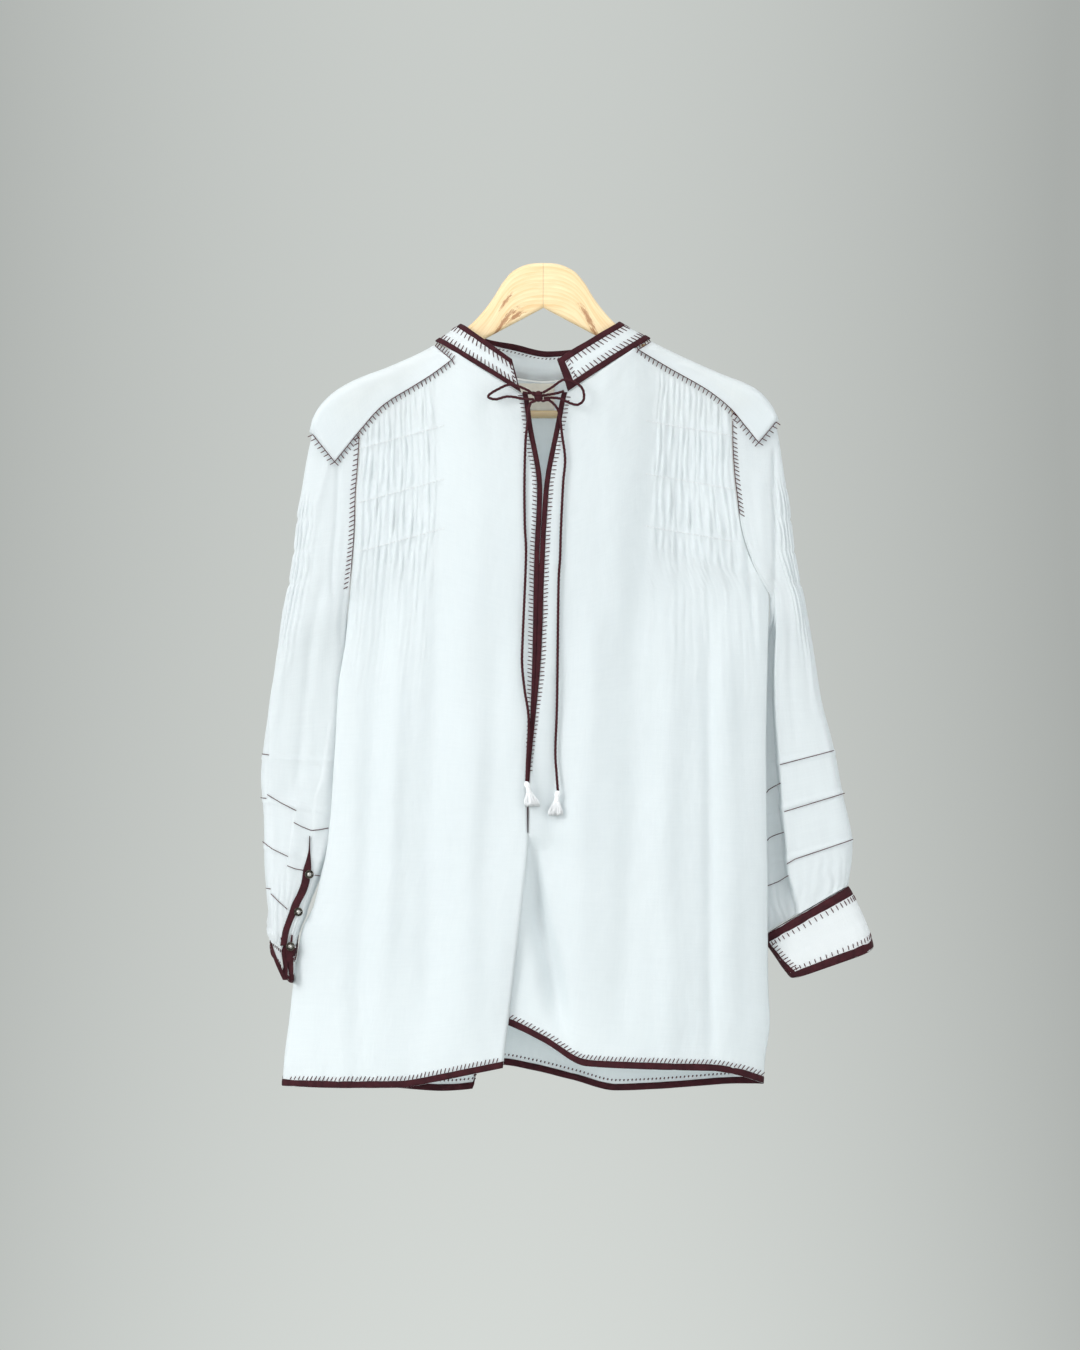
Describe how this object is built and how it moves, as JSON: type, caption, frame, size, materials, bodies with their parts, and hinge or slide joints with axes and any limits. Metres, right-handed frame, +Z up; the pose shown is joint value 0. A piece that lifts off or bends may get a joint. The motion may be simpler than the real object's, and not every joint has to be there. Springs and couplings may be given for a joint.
{
  "type": "cotton shirt on a wooden hanger",
  "caption": "Collared cotton shirt with bound and stitched edges, a tied neck slit, gathered panels and long cuffed sleeves, hung flat on a wooden hanger.",
  "frame": {"origin": "top of the hanger's crown, at the mouth of the screw hole for a hook", "axes": "+Z up, towards the hook; the shirt's front faces -Y; +X to the viewer's right"},
  "size_m": [0.6137, 0.1013, 0.8291],
  "materials": {
    "pine": "clear satin lacquer, with knots",
    "white_cotton": "plain woven, slightly sheer",
    "maroon_binding": "dark maroon bias binding",
    "maroon_cord": "dark maroon round cord",
    "white_thread": "loose white thread",
    "silver": "domed metal",
    "cream_label": "bare woven label"
  },
  "bodies": {
    "root": {"hanger_arm_left": "pine", "hanger_arm_right": "pine", "hanger_bar": "pine", "front": "white_cotton", "back": "white_cotton", "collar": "white_cotton", "strap_left": "white_cotton", "strap_right": "white_cotton", "sleeve_left": "white_cotton", "sleeve_right": "white_cotton", "cuff_left": "white_cotton", "cuff_right": "white_cotton", "front_hem_binding_left": "maroon_binding", "front_hem_binding_right": "maroon_binding", "back_hem_binding": "maroon_binding", "slit_binding_left": "maroon_binding", "slit_binding_right": "maroon_binding", "neck_binding": "maroon_binding", "collar_top_binding": "maroon_binding", "collar_end_binding_left": "maroon_binding", "collar_end_binding_right": "maroon_binding", "cuff_top_binding_left": "maroon_binding", "cuff_top_binding_right": "maroon_binding", "cuff_hem_binding_left": "maroon_binding", "cuff_hem_binding_right": "maroon_binding", "sleeve_opening_binding_left": "maroon_binding", "sleeve_opening_binding_right": "maroon_binding", "tie_knot": "maroon_cord", "tie_loop_left": "maroon_cord", "tie_loop_right": "maroon_cord", "tie_strand_left": "maroon_cord", "tie_strand_right": "maroon_cord", "tie_cord_left": "maroon_cord", "tie_cord_right": "maroon_cord", "tassel_left": "white_thread", "tassel_right": "white_thread", "button_left_1": "silver", "button_left_2": "silver", "button_left_3": "silver", "button_right_1": "silver", "button_right_2": "silver", "button_right_3": "silver", "label": "cream_label"}
  },
  "joints": []
}
